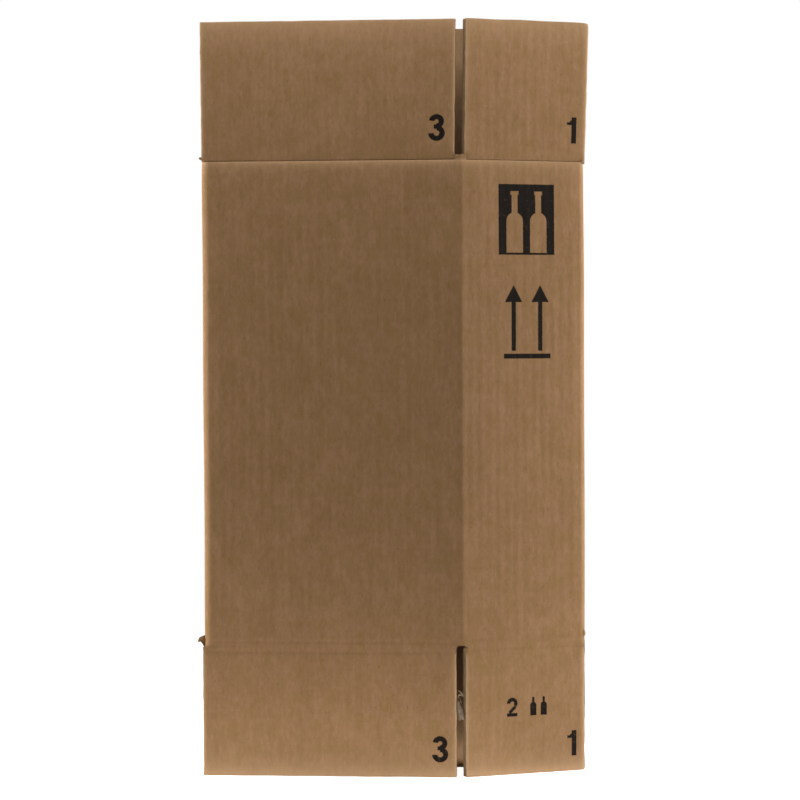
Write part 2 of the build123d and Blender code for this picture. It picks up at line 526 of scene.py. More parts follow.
def printedMask(tree, uv, where, shapes, cuts):
    distance = None
    for kind, sizes in shapes:
        shape = inkShape(tree, uv, kind, sizes)
        distance = shape if distance is None else mathNode(tree, "MINIMUM", distance, shape)
    for kind, sizes in cuts:
        distance = larger(tree, distance, times(tree, inkShape(tree, uv, kind, sizes), -1.0))
    bleed = times(tree, minus(tree, noiseNode(tree, where, ink["bleedScale"], 2.0), 0.5), ink["bleed"])
    return mapRange(tree, mathNode(tree, "ADD", distance, bleed), *ink["edge"])


def makeBoardMaterial(name, shapes=(), tone=None, ridges=True, cuts=(), cutLines=None, foldLine=None):
    material = bpy.data.materials.new(name)
    material.use_nodes = True
    tree = material.node_tree
    tree.nodes.clear()
    where = addNode(tree, "ShaderNodeTexCoord").outputs["Object"]
    uv = addNode(tree, "ShaderNodeUVMap", uv_map="boardUv").outputs[0]
    fibre = addNode(tree, "ShaderNodeGroup", {"Vector": where}, node_tree=fibreGroup).outputs
    dark, light = tone or (kraft["dark"], kraft["light"])
    colour = mixColour(tree, mapRange(tree, fibre["Mottle"], *kraft["mottle"]), dark, light)
    most = kraft["insideBlotches" if tone else "blotches"]
    blotches = mapRange(tree, fibre["Blotch"], *kraft["blotch"], 0.0, most)
    colour = mixColour(tree, blotches, colour, kraft["olive"])
    for output, share, shade in (("Fleck", "flecks", "fleck"), ("Dark Fleck", "darkFlecks", "darkFleck")):
        colour = mixColour(tree, times(tree, fibre[output], kraft[share]), colour, kraft[shade])
    height = times(tree, fibre["Height"], kraft["fibreBump"])
    rough = kraft["roughness"]
    roughness = mapRange(tree, fibre["Fleck"], 0.0, 1.0, rough, rough - kraft["fleckSmooth"])
    if ridges:
        inputs = {"UV": uv, "Pitch": carton["outerPitch"] * metre}
        ridge = addNode(tree, "ShaderNodeGroup", inputs, node_tree=washboardGroup).outputs[0]
        height = plus(tree, ridge, kraft["ridgeHeight"], height)
        tint = mapRange(tree, ridge, -1.0, 1.0, 0.0, kraft["ridgeTint"])
        colour = mixColour(tree, tint, colour, kraft["fleck"])
    if cutLines or foldLine:
        u, v = split(tree, uv)[:2]
        uneven = plus(tree, fibre["Mottle"], *kraft["uneven"])
    if cutLines:
        # Rubbed paler towards the free edge by handling; along the lowest edge of a bottom flap, a painted
        # highlight standing in for light from the floor
        tall, first, last, foot = cutLines
        fromEdge = minus(tree, tall * metre, absolute(tree, v))
        colour = worn(tree, fromEdge, uneven, "rub", colour)
        # Painted highlight along the cut sides, where their rounded edges catch the side lamps
        atFirst, atLast = (absolute(tree, mathNode(tree, "ADD", u, at * metre)) for at in (first, last))
        clearOfFold = mapRange(tree, absolute(tree, v), *kraft["sideClear"])
        nearest = mathNode(tree, "MINIMUM", atFirst, atLast)
        fromSide = mathNode(tree, "DIVIDE", nearest, mathNode(tree, "ADD", clearOfFold, kraft["sideLeast"]))
        colour = worn(tree, fromSide, uneven, "sideHighlight", colour)
        if foot:
            # painted highlight of floor light along the lowest edge
            colour = worn(tree, fromEdge, uneven, "footHighlight", colour)
    if foldLine:
        # Painted highlight where the outer sheet rounds the top fold, for light from above on the rolled
        # shoulder
        away = minus(tree, foldLine * metre, v)
        away = larger(tree, away, times(tree, away, -kraft["foldEnd"]))
        colour = worn(tree, away, uneven, "foldHighlight", colour)
    if shapes:
        thin = mapRange(tree, fibre["Fleck"], *ink["thin"])
        mask = times(tree, printedMask(tree, uv, where, shapes, cuts), thin)
        colour = mixColour(tree, mask, colour, ink["colour"])
        roughness = plus(tree, mask, -ink["smooth"], roughness)
    bump = addNode(tree, "ShaderNodeBump", {"Strength": 1.0, "Distance": 1.0, "Height": height})
    shader = addNode(tree, "ShaderNodeBsdfPrincipled", {
        "Base Color": colour, "Roughness": roughness, "Specular IOR Level": kraft["gloss"],
        "Normal": bump.outputs[0],
    })
    addNode(tree, "ShaderNodeOutputMaterial", {0: shader.outputs[0]})
    return material


print("shader groups made")

# Print on the board: x runs to the right as seen from outside, mm from the side's own start
bottles = []
for middle in (-54.5, -34.5):
    bottles += [bar(middle, 421.5, 7.0, 12.5), arc(middle, 433.6, 3.5, 3.5, 90.0, 180.0),
                bar(middle, 444.5, 2.5, 12.5), bar(middle, 455.6, 3.4, 1.5)]
packingMark = [bar(-44.5, 435.0, 23.5, 27.5)]
arrows = [bar(-44.2, 328.2, 19.7, 1.85)]
for middle in (-55.6, -33.2):
    arrows += [("triangle", {"Tip": (middle, 383.7), "Half Width": 7.3, "Height": 13.2}),
               bar(middle, 352.4, 1.8, 20.0)]
smallBottles = []
for middle in (-38.6, -29.6):
    smallBottles += [bar(middle, -51.2, 2.6, 4.0), arc(middle, -47.3, 1.3, 1.3, 90.0, 180.0),
                     bar(middle, -44.2, 0.95, 3.4)]
printed = {
    "top_flap_front": numeral(3, -16.5, 14.5, 20.7),
    "top_flap_right": numeral(1, -5.8, 14.4, 20.3),
    "top_flap_back": numeral(4, -16.5, 14.5, 20.7),
    "top_flap_left": numeral(2, -12.0, 14.4, 20.3),
    "bottom_flap_front": numeral(3, -15.3, -89.0, 20.4),
    "bottom_flap_right": numeral(1, -4.6, -88.9, 20.0) + numeral(2, -56.6, -55.2, 14.6) + smallBottles,
    "bottom_flap_back": numeral(4, -15.3, -89.0, 20.4),
    "bottom_flap_left": numeral(2, -12.0, -88.9, 20.0),
}

insideMaterial = makeBoardMaterial("kraftInside", tone=kraft["inside"])
edgeMaterial = makeBoardMaterial("kraftCutEdge", tone=kraft["edge"], ridges=False)
fluteMaterial = makeBoardMaterial("kraftFlutes", tone=kraft["flute"], ridges=False)
scrapMaterial = makeBoardMaterial("kraftScrap", tone=kraft["scrap"], ridges=False)
shredMaterial = makeBoardMaterial("paleShred", tone=kraft["shred"], ridges=False)
bodyMaterial = makeBoardMaterial("kraftBody", packingMark + arrows, cuts=bottles, foldLine=upperFold)
flapMaterials = {}
for end, tall in (("top", carton["topFlap"]), ("bottom", carton["bottomFlap"])):
    for name, side in sides.items():
        node = end + "_flap_" + name
        cutLines = (tall, side[2], side[3], end == "bottom")
        flapMaterials[node] = makeBoardMaterial("kraft_" + node, printed[node], cutLines=cutLines)
print("board materials made")


def moved(tree, geometry, offset):
    return addNode(tree, "GeometryNodeSetPosition", {"Geometry": geometry, "Offset": offset}).outputs[0]


def finishTree(tree, geometry, material):
    real = addNode(tree, "GeometryNodeRealizeInstances", {0: geometry}).outputs[0]
    coloured = addNode(tree, "GeometryNodeSetMaterial", {"Geometry": real, "Material": material})
    addNode(tree, "NodeGroupOutput", {0: coloured.outputs[0]})
    return tree


# Fluted sheet: a grid waved across its width, thickened, as Geometry Nodes
def makeFluteTree():
    tree, given = newTree("GeometryNodeTree", "flutedSheet", {
        "Geometry": "Geometry", "Width": 0.2, "Height": 0.1, "Pitch": 0.00765, "Wave Height": 0.0031,
        "Thickness": 0.0003, "Steps Per Wave": 10, "Rows": 8, "Material": "Material",
    }, {"Geometry": "Geometry"})
    waves = mathNode(tree, "DIVIDE", given["Width"], given["Pitch"])
    columns = mathNode(tree, "CEIL", plus(tree, waves, given["Steps Per Wave"], 1.0))
    grid = addNode(tree, "GeometryNodeMeshGrid", {
        "Size X": given["Width"], "Size Y": given["Height"],
        "Vertices X": columns, "Vertices Y": given["Rows"],
    })
    x = split(tree, addNode(tree, "GeometryNodeInputPosition").outputs[0])[0]
    phase = times(tree, mathNode(tree, "DIVIDE", x, given["Pitch"]), 2 * pi)
    rise = times(tree, mathNode(tree, "SINE", phase), times(tree, given["Wave Height"], 0.5))
    waved = moved(tree, grid.outputs["Mesh"], combine(tree, 0.0, 0.0, rise))
    extrude = addNode(tree, "GeometryNodeExtrudeMesh", {
        "Mesh": waved, "Offset Scale": given["Thickness"], "Individual": False,
    }, mode="FACES")
    flip = addNode(tree, "GeometryNodeFlipFaces", {0: waved})
    join = addNode(tree, "GeometryNodeJoinGeometry")
    for side in (extrude.outputs["Mesh"], flip.outputs[0]):
        put(tree, join.inputs[0], side)
    merge = addNode(tree, "GeometryNodeMergeByDistance", {"Geometry": join.outputs[0], "Distance": 0.000001})
    return finishTree(tree, merge.outputs[0], given["Material"])


# Torn fibres: bent tufts scattered over the faces of a base mesh
def makeTuftTree():
    tree, given = newTree("GeometryNodeTree", "tornFibres", {
        "Geometry": "Geometry", "Density": 250000.0, "Length": 0.0012, "Thickness": 0.00012, "Curl": 0.0005,
        "Lean": 1.2, "Bends": 3.6, "Shortest": 0.35, "Seed": 1, "Material": "Material",
    }, {"Geometry": "Geometry"})
    scatter = addNode(tree, "GeometryNodeDistributePointsOnFaces", {
        "Mesh": given["Geometry"], "Density": given["Density"], "Seed": given["Seed"],
    }).outputs
    tip = combine(tree, 0.0, 0.0, given["Length"])
    line = addNode(tree, "GeometryNodeCurvePrimitiveLine", {"End": tip}).outputs[0]
    resample = addNode(tree, "GeometryNodeResampleCurve", {"Curve": line, "Count": 6}).outputs[0]
    part = addNode(tree, "GeometryNodeSplineParameter").outputs["Factor"]
    sway = times(tree, mathNode(tree, "SINE", times(tree, part, given["Bends"])), given["Curl"])
    droop = times(tree, times(tree, part, part), given["Curl"])
    bent = moved(tree, resample, combine(tree, sway, droop))
    radius = times(tree, given["Thickness"], 0.5)
    circle = addNode(tree, "GeometryNodeCurvePrimitiveCircle", {"Resolution": 4, "Radius": radius}).outputs[0]
    fibre = addNode(tree, "GeometryNodeCurveToMesh", {
        "Curve": bent, "Profile Curve": circle, "Fill Caps": True,
    }).outputs[0]
    sizes = {2: given["Shortest"], 3: 1.0, "Seed": given["Seed"]}
    size = addNode(tree, "FunctionNodeRandomValue", sizes).outputs[1]
    placed = addNode(tree, "GeometryNodeInstanceOnPoints", {
        "Points": scatter["Points"], "Rotation": scatter["Rotation"], "Instance": fibre, "Scale": size,
    }).outputs[0]
    lean = given["Lean"]
    back = times(tree, lean, -1.0)
    limits = {0: combine(tree, back, back), 1: combine(tree, lean, lean, 2 * pi), "Seed": given["Seed"]}
    turns = addNode(tree, "FunctionNodeRandomValue", limits, data_type="FLOAT_VECTOR").outputs[0]
    turned = addNode(tree, "GeometryNodeRotateInstances", {"Instances": placed, "Rotation": turns})
    return finishTree(tree, turned.outputs[0], given["Material"])


def runTree(tree, name, values, base=None):
    # Runs a tree on a base mesh and gives its result as a plain mesh
    carrier = newObject(name, base or bpy.data.meshes.new(name + "Base"))
    modifier = carrier.modifiers.new("nodes", "NODES")
    modifier.node_group = tree
    for item in tree.interface.items_tree:
        if item.item_type == "SOCKET" and item.in_out == "INPUT" and item.name in values:
            modifier[item.identifier] = values[item.name]
    bpy.context.view_layer.update()
    evaluated = carrier.evaluated_get(bpy.context.evaluated_depsgraph_get())
    mesh = bpy.data.meshes.new_from_object(evaluated)
    mesh.name = name
    bpy.data.objects.remove(carrier)
    return mesh


fluteTree = makeFluteTree()
tuftTree = makeTuftTree()
fibreLook = {
    "thickness": 0.13,
    "curl": 0.45,
    "lean": 1.25,  # radians
    "bends": 3.6,  # radians of sway from root to tip
    "shortest": 0.35,  # share of the full length
}
fluteLook = {"stepsPerWave": 10, "rows": 8}
fluteThick = carton["medium"] * 0.8  # thinner than in the solids, so that it clears the flat sheets


def tufts(name, base, perSquare, length, seed):
    # Fibres over a base mesh, length in mm and a count per square mm
    return runTree(tuftTree, name, {
        "Density": perSquare / metre ** 2, "Length": length * metre,
        "Thickness": fibreLook["thickness"] * metre, "Curl": fibreLook["curl"] * metre,
        "Lean": fibreLook["lean"], "Bends": fibreLook["bends"], "Shortest": fibreLook["shortest"],
        "Seed": seed, "Material": edgeMaterial,
    }, base)


def quadStrip(name, firstRow, secondRow):
    # An open strip between two rows of points, only ever a base for tufts
    count = len(firstRow)
    faces = [(i, i + 1, count + i + 1, count + i) for i in range(count - 1)]
    return meshFrom(name, [*firstRow, *secondRow], faces)


def flutedSheet(name, width, height, pitch, waveHeight):
    return runTree(fluteTree, name, {
        "Width": width * metre, "Height": height * metre, "Pitch": pitch * metre,
        "Wave Height": waveHeight * metre, "Thickness": fluteThick * metre,
        "Steps Per Wave": fluteLook["stepsPerWave"], "Rows": fluteLook["rows"], "Material": fluteMaterial,
    })


def joinMeshes(name, meshes, materials):
    # One mesh of several closed shells, each with its material's and its rim's places in the list
    work = bmesh.new()
    for mesh, index, rimIndex in meshes:
        before = len(work.faces)
        work.from_mesh(mesh)
        work.faces.ensure_lookup_table()
        for face in work.faces[before:]:
            face.smooth = face.material_index == 0
            face.material_index = index if face.smooth else rimIndex
    out = bpy.data.meshes.new(name)
    work.to_mesh(out)
    work.free()
    for material in materials:
        out.materials.append(material)
    return out


# Flaps: three flat sheets with two fluted ones between them, all squeezed at the score
flapLook = {
    "sideWobble": 0.4,  # how unevenly the slots were cut
    "sideReach": 4.0,
    "sideScale": 9.0,
    "sideClear": 6.0,  # it starts over this far from the fold
    "edgeWobble": 0.3,
    "edgeReach": 3.0,
    "edgeScale": 14.0,
    "bow": 0.7,  # how far a flap's middle stands off its plane
    "bowScale": 90.0,
    "topBow": 0.6,  # share of it in a top flap
    "regained": 0.75,  # share of its step behind the wall that a top flap has made up at its free edge
    "edgeCrush": 0.5,
    "crushReach": 0.8,
    "cutBack": 0.7,  # the fluted sheets end this far inside a cut edge
    "fluteStart": 3.5,  # and start this far from the fold
    "fluteShort": 0.1,  # and end this far from the free edge
    "cornerDent": 0.7,  # one corner is knocked down by this much
    "cornerBend": 1.6,  # and inwards by this much
    "cornerReach": 2.5,
    "fuzz": (0.16, 0.9),  # torn fibres on the cut sides: count per square mm, and length
    "fuzzClear": (1.0, 0.5, 0.4),  # their distance from the fold, the free edge and both faces
    "shred": (0.3, (0.2, 1.0, 0.1)),  # loose paper in the slot: thickness, and the way it is thickened
    # The mesh is finer beside a cut side, the fold and the free edge: width of each such strip, and spacing
    "sideFine": (4.0, 0.8),
    "foldFine": (9.0, 0.45),
    "edgeFine": (3.0, 0.75),
    "coarse": 5.0,
    "seeds": {"top": 17.0, "bottom": 5.0},
    "seedStep": 3.1,  # from one side to the next
}
# How each flap's two cut sides stand off their true places, at the fold and at the free edge,
# and how much shorter it is
cutErrors = {
    "top_flap_front": ((1.25, 0.0), (-1.55, -0.8), 0.0),
    "top_flap_right": ((-0.6, -3.9), (0.3, -0.9), -0.7),
    "top_flap_back": ((0.0, 0.0), (-0.6, -0.2), 2.5),
    "top_flap_left": ((0.5, 0.1), (-0.4, 0.2), 0.6),
    "bottom_flap_front": ((1.0, 1.0), (-0.7, -0.8), 0.0),
    "bottom_flap_right": ((1.5, 1.7), (1.0, 0.9), 0.0),
    "bottom_flap_back": ((0.0, 0.0), (-1.2, -1.6), 0.3),
    "bottom_flap_left": ((0.6, 0.3), (0.0, 0.4), 0.2),
}
# Torn paper in the bottom slot: how deep it hangs, then its outline to the right of the cut edge
# and down from the fold
slotPaper = [
    (4.2, [(0.2, 40.0), (1.2, 41.6), (2.4, 42.4), (3.4, 46.4), (4.6, 47.2), (5.4, 51.5), (5.0, 56.6),
           (3.6, 55.6), (2.2, 57.0), (0.4, 55.2), (-0.4, 48.0), (-0.6, 43.5)]),
    (3.4, [(0.6, 40.6), (1.8, 43.6), (2.5, 49.0), (2.0, 49.2), (1.2, 44.4), (0.2, 41.4)]),
    (4.8, [(3.2, 47.0), (4.0, 50.2), (4.3, 55.4), (3.8, 55.6), (3.3, 51.0), (2.7, 47.8)]),
    (5.2, [(0.2, 38.6), (2.0, 35.8), (3.6, 36.2), (5.2, 37.6), (5.3, 38.4), (3.4, 37.1), (2.1, 36.9),
           (0.8, 39.6)]),
    (5.6, [(1.4, 32.6), (3.0, 33.6), (5.2, 37.0), (5.2, 37.9), (2.8, 34.6), (1.2, 33.4)]),
    (3.6, [(2.0, 38.2), (3.0, 40.6), (3.8, 43.0), (3.2, 43.2), (2.4, 41.0), (1.5, 38.6)]),
]
innerFlute = board - 2 * carton["liner"] - carton["middleLiner"] - carton["outerFlute"]
sheetLevels = {
    "inner": (0.0, carton["liner"]),
    "middle": (carton["liner"] + innerFlute, carton["liner"] + innerFlute + carton["middleLiner"]),
    "outer": (board - carton["liner"], board),
}


def tornFlake(name, points, thick, pull):
    # A torn scrap of board at a fold's end: a ragged fan with a little thickness
    vertices = [Vector(p) for p in points] + [Vector(p) + Vector(pull) * thick for p in points]
    count = len(points)
    faces = [tuple(range(count)), tuple(range(2 * count - 1, count - 1, -1))]
    faces += [(i, (i + 1) % count, count + (i + 1) % count, count + i)[::-1] for i in range(count)]
    uvs = [(v.x * metre, v.z * metre) for v in vertices]
    mesh = meshFrom(name, [v * metre for v in vertices], faces, uvs)
    faceOutwards(mesh, recalculate=True)
    return mesh


def slotShreds(place, first):
    # Loose paper left in the bottom slot, hanging off the front flap's cut edge
    shreds = []
    for index, (level, points) in enumerate(slotPaper):
        outline = [place(first - across, level, -down) / metre for across, down in points]
        shreds.append((tornFlake("slotShred" + str(index), outline, *flapLook["shred"]), 4, 4))
    return shreds


def flapUv(s, away):
    return (-s * metre, away * metre)


def makeFlap(end, name):
    node = end + "_flap_" + name
    corner, heading, first, last, half, sharpFirst = sides[name]
    up, fold, tall = (1, upperFold, carton["topFlap"])
    if end == "bottom":
        up, fold, tall = (-1, lowerFold, carton["bottomFlap"])
    seed = flapLook["seeds"][end] + flapLook["seedStep"] * (list(sides).index(name) + 1)
    along, outward = heading2d(heading), outward2d(heading)
    firstError, lastError, short = cutErrors[node]
    gapShift = carton["noseGap"] / sin(radians(half))

    def low(s, away):
        past = (gapShift - s) if sharpFirst else (s - (last - (carton["wideReach"] + gapShift)))
        return max(innerPress(away), past * tan(radians(half)) if past > 0 else 0.0)

    def high(s, away):
        rim = min(s - first, last - s, tall - abs(away))
        crush = flapLook["edgeCrush"] * exp(-max(0.0, rim) / flapLook["crushReach"])
        return board - outerPress(end, away) - crush

    def place(s, level, away):
        free = smoothStep(0.0, tall, abs(away))
        y = low(s, away) + (high(s, away) - low(s, away)) * level / board
        bow = flapLook["bow"] * sin(pi * free) * wobble(s, away, 0, flapLook["bowScale"], seed)
        if end == "top":
            y += bow * flapLook["topBow"] - score["flapBehind"] * (1.0 - flapLook["regained"] * free)
        else:
            y += min(0.0, bow)
        sideways = 0.0
        for row, inside in ((0, s - first), (9, last - s)):
            wave = wobble(0, row, away, flapLook["sideScale"], seed)
            sideways += exp(-inside / flapLook["sideReach"]) * wave
        sideways *= flapLook["sideWobble"] * smoothStep(0.0, flapLook["sideClear"], abs(away))
        across = (s - first) / (last - first)
        out = abs(away) / tall
        for part, (atFold, atEdge) in ((1.0 - across, firstError), (across, lastError)):
            sideways += part * (atFold + (atEdge - atFold) * out)
        under = tall - abs(away)
        lift = flapLook["edgeWobble"] * exp(-under / flapLook["edgeReach"])
        lift *= wobble(s, 0, 0, flapLook["edgeScale"], seed) - 0.5
        lift -= short
        if node == "top_flap_right":
            cornerNear = exp(-hypot(s - first, under) / flapLook["cornerReach"])
            lift -= flapLook["cornerDent"] * cornerNear
            y -= flapLook["cornerBend"] * cornerNear
        lift *= free
        flat = corner + along * (s + sideways) + outward * y
        return Vector((flat.x * metre, flat.y * metre, (fold + away + up * lift) * metre))

    coarse = flapLook["coarse"]
    wide, fine = flapLook["sideFine"]
    columns = runs(first, (first + wide, fine), (last - wide, coarse), (last, fine))
    edgeWide, edgeFine = flapLook["edgeFine"]
    rows = runs(0.0, flapLook["foldFine"], (tall - edgeWide, coarse), (tall, edgeFine))
    rows = [up * value for value in rows]
    shells = []
    for sheet, (under, over) in sheetLevels.items():
        def corners(side, s, away, under=under, over=over):
            return place(s, over if side else under, away)
        flat = slabMesh(node + "_" + sheet, columns, rows, corners, flapUv)
        shells.append((flat, 0 if sheet == "outer" else 1, 3))
    inset = flapLook["cutBack"]
    for row, pitch in (("outer", carton["outerPitch"]), ("inner", carton["innerPitch"])):
        below = sheetLevels["inner" if row == "inner" else "middle"][1]
        above = sheetLevels["middle" if row == "inner" else "outer"][0]
        start, stop = first + inset, last - inset
        if row == "inner":
            start += carton["narrowReach"] if sharpFirst else 0.0
            stop -= 0.0 if sharpFirst else carton["wideReach"]
        sheetHeight = tall - flapLook["fluteStart"] - flapLook["fluteShort"]
        waveHeight = above - below - fluteThick
        mesh = flutedSheet(node + "_flutes_" + row, stop - start, sheetHeight, pitch, waveHeight)
        middle = (below + above - fluteThick) / 2
        for vertex in mesh.vertices:
            x, y, z = (value / metre for value in vertex.co)
            away = up * (flapLook["fluteStart"] + sheetHeight / 2 + y)
            vertex.co = place(start + (stop - start) / 2 + x, middle + z, away)
        faceOutwards(mesh)
        shells.append((mesh, 2, 2))
    fromFold, fromEdge, fromFace = flapLook["fuzzClear"]
    heights = [up * value for value in steps(fromFold, tall - fromEdge, 4.0)]
    levels = (fromFace, board - fromFace)
    for index, s in enumerate((first, last)):
        inner, outer = ([place(s, level, away) for away in heights] for level in levels)
        base = quadStrip(node + "_edge", inner, outer)
        shells.append((tufts(node + "_fuzz", base, *flapLook["fuzz"], index + round(seed)), 3, 3))
    materials = [flapMaterials[node], insideMaterial, fluteMaterial, edgeMaterial, shredMaterial]
    if node == "bottom_flap_front":
        shells += slotShreds(place, first)
    piece = newObject(node + "_board", joinMeshes(node + "_board", shells, materials))
    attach(piece, end + "_" + name)
    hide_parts(node)
    return piece


flaps = {}
for end in ("top", "bottom"):
    for name in sides:
        flaps[end + "_" + name] = makeFlap(end, name)
print("flaps made:", len(flaps))


# Body: one strip of board led round the plan from the back panel's raw edge to the lap
bodyLook = {
    "bendStep": 7.0,  # degrees
    # The mesh is finer beside the folds: width of each such strip, and spacing
    "uprightFine": (8.0, 1.6),
    "acrossCoarse": 6.0,
    "lowerFine": (10.0, 0.5),
    "upperFine": (6.0, 0.5),
    "upCoarse": 9.0,
    "waviness": 0.28,
    "waveScale": 70.0,
    "waveSeed": 2.3,
    "flatReach": 25.0,  # the walls are less wavy this near to a fold
    "shoulder": 0.5,  # the walls start to turn this much before a sharp bend
    "shoulderReach": 4.5,
    "sharpPress": (0.7, 6.0),  # share of the scores' depth that is lost at a sharp bend, and its reach
    "noseOut": ((0.5, 0.8, 0.1), (0.4, 0.4, 0.8)),  # each sharp bend stands out at the bottom, middle and top
    "noseReach": 14.0,
    "openEdge": 1.2,  # the fluted sheets end this far inside the raw edge
    "webTall": carton["slotShort"],
    "webHalf": slotHalf + 0.9,
    "webBehind": 0.3,
    "ragged": (0.5, 2.0, 4.4),  # its top row: height, scale and seed
    "lip": 0.9,  # torn fibres grow on this much of the slot's end
    "lipFibres": (4.0, 1.5, 41),  # their count per square mm, length and seed
    "notch": 2.1,  # how far the bottom slot runs up into the body
    "notchHalf": slotHalf + 0.6,
    "notchReach": 3.0,
}


def walkTube():
    # Stations along the strip: developed length, inner point, outward angle in degrees, and panel
    stations = []
    travelled = 0.0
    route = [
        (Vector((rawEdge, cornerC.y)), 0.0, cornerC.x - rawEdge),
        (cornerC, 180.0 + carton["lean"], carton["innerNarrow"]),
        (cornerA, 180.0, carton["innerWide"]),
        (cornerB, leftLean, innerLeft),
        (cornerD, 0.0, carton["lapLength"]),
    ]
    marks = {}
    for index, (corner, heading, length) in enumerate(route):
        marks[index] = travelled
        start = 0.0 if index else bodyLook["openEdge"]
        wide, fine = bodyLook["uprightFine"]
        for spot in runs(start, (wide, fine), (length - wide, bodyLook["acrossCoarse"]), (length, fine)):
            stations.append((travelled + spot, corner + heading2d(heading) * spot, heading + 90.0, index))
        travelled += length
        if index == len(route) - 1:
            break
        pivot, nextHeading = route[index + 1][:2]
        turn = abs((nextHeading - heading + 180.0) % 360.0 - 180.0)
        bendLength = board * radians(turn)
        count = max(2, round(turn / bodyLook["bendStep"]))
        for step in range(1, count):
            part = step / count
            stations.append((travelled + bendLength * part, pivot, heading + 90.0 - turn * part, index))
        travelled += bendLength
    return stations, marks


stations, marks = walkTube()
uStart = marks[1]
# The two sharp bends, by developed length
sharpBends = [(marks[0] + cornerC.x - rawEdge, marks[1]), (marks[2] + carton["innerWide"], marks[3])]


def bodyPoint(station, level, z):
    developed, inner, angle, index = station
    normal = heading2d(angle)
    press = outerPress("bottom", z - lowerFold) + outerPress("top", z - upperFold)
    dent = innerPress(z - lowerFold) + innerPress(z - upperFold)
    reach = bodyLook["flatReach"]
    middle = smoothStep(0.0, reach, z - lowerFold) * smoothStep(0.0, reach, upperFold - z)
    wave = wobble(developed, z, 0.0, bodyLook["waveScale"], bodyLook["waveSeed"])
    wave = bodyLook["waviness"] * wave * middle
    height = (z - lowerFold) / carton["bodyHeight"]
    share, pressReach = bodyLook["sharpPress"]
    sideways = 0.0
    for (low, high), outward, (atBottom, atMiddle, atTop) in zip(sharpBends, (1, -1), bodyLook["noseOut"]):
        fromSharp = max(0.0, low - developed, developed - high)
        wave -= bodyLook["shoulder"] * exp(-fromSharp / bodyLook["shoulderReach"]) * level / board
        press *= 1.0 - share * exp(-fromSharp / pressReach)
        out = atBottom * (1 - height) * (1 - 2 * height) + 4 * atMiddle * height * (1 - height)
        out += atTop * height * (2 * height - 1)
        sideways += outward * out * exp(-fromSharp / bodyLook["noseReach"])
    y = dent + (board - press - dent) * level / board + wave
    flat = inner + normal * y + Vector((sideways, 0.0))
    return Vector((flat.x * metre, flat.y * metre, z * metre))


def bodyUv(station, z):
    return (-(station[0] - uStart) * metre, z * metre)


def lapTrim(station, z):
    # The lap's ends slant towards its free edge
    past = max(0.0, station[0] - marks[4]) / carton["lapLength"]
    trim = carton["lapTaper"] * past
    low, high = lowerFold + trim, upperFold - trim
    return low + (z - lowerFold) / carton["bodyHeight"] * (high - low)


def bodyPlace(side, station, z):
    if station[3] == 4:
        z = lapTrim(station, z)
    fromSlot = max(0.0, marks[2] - board * radians(carton["lean"]) - station[0], station[0] - marks[2])
    if fromSlot < bodyLook["notchHalf"]:
        z += bodyLook["notch"] * exp(-((z - lowerFold) / bodyLook["notchReach"]) ** 2)
    return bodyPoint(station, board if side else 0.0, z)


lowerWide, lowerFine = bodyLook["lowerFine"]
upperWide, upperFine = bodyLook["upperFine"]
bodyRows = runs(
    lowerFold, (lowerFold + lowerWide, lowerFine), (upperFold - upperWide, bodyLook["upCoarse"]),
    (upperFold, upperFine),
)
bodyMesh = slabMesh("carton_body_board", stations, bodyRows, bodyPlace, bodyUv)


def rawEdgeSheets():
    # Down the back panel's raw edge the three flat sheets stand past the fluted ones
    shells = []
    line = [(spot, Vector((rawEdge + spot, cornerC.y)), 90.0, 0) for spot in (0.0, 0.5, bodyLook["openEdge"])]
    for name, (under, over) in sheetLevels.items():
        def place(side, station, z, under=under, over=over):
            return bodyPoint(station, over if side else under, z)
        sheet = slabMesh("rawEdge_" + name, line, bodyRows, place, bodyUv)
        shells.append((sheet, 0 if name == "outer" else 1, 1))
    return shells


def makeWeb():
    # The end of the top slot at the front blunt fold, left standing a little above the fold
    half = bodyLook["webHalf"]
    rightHeading = 180.0 + carton["lean"]
    start = marks[1] + carton["innerNarrow"] - half
    before = (start, cornerA - heading2d(rightHeading) * half, rightHeading + 90.0, 1)
    after = (marks[2] + half, cornerA + heading2d(180.0) * half, 270.0, 2)
    bend = sorted((station for station in stations if station[1] == cornerA), key=lambda station: station[0])
    line = [before, *bend, after]
    top = upperFold + bodyLook["webTall"]
    ragged, raggedScale, raggedSeed = bodyLook["ragged"]

    def place(side, station, z):
        behind = (score["flapBehind"] + bodyLook["webBehind"]) * smoothStep(-0.2, 0.4, z - upperFold)
        point = bodyPoint(station, board - behind if side else 0.0, z)
        if z > top - 1.0:
            z += ragged * wobble(station[0] * 3, side * 5, 0, raggedScale, raggedSeed)
        return Vector((point.x, point.y, z * metre))

    web = slabMesh("slotEnd", line, steps(upperFold - 0.4, top, 0.7), place, bodyUv)
    upper, lower = ([place(1, station, z) for station in line] for z in (top, top - bodyLook["lip"]))
    fibres = tufts("slotEndFibres", quadStrip("slotEndLip", upper, lower), *bodyLook["lipFibres"])
    return [(web, 0, 1), (fibres, 1, 1)]


noseLeft = cornerB.x - board
noseRight = cornerC.x + board
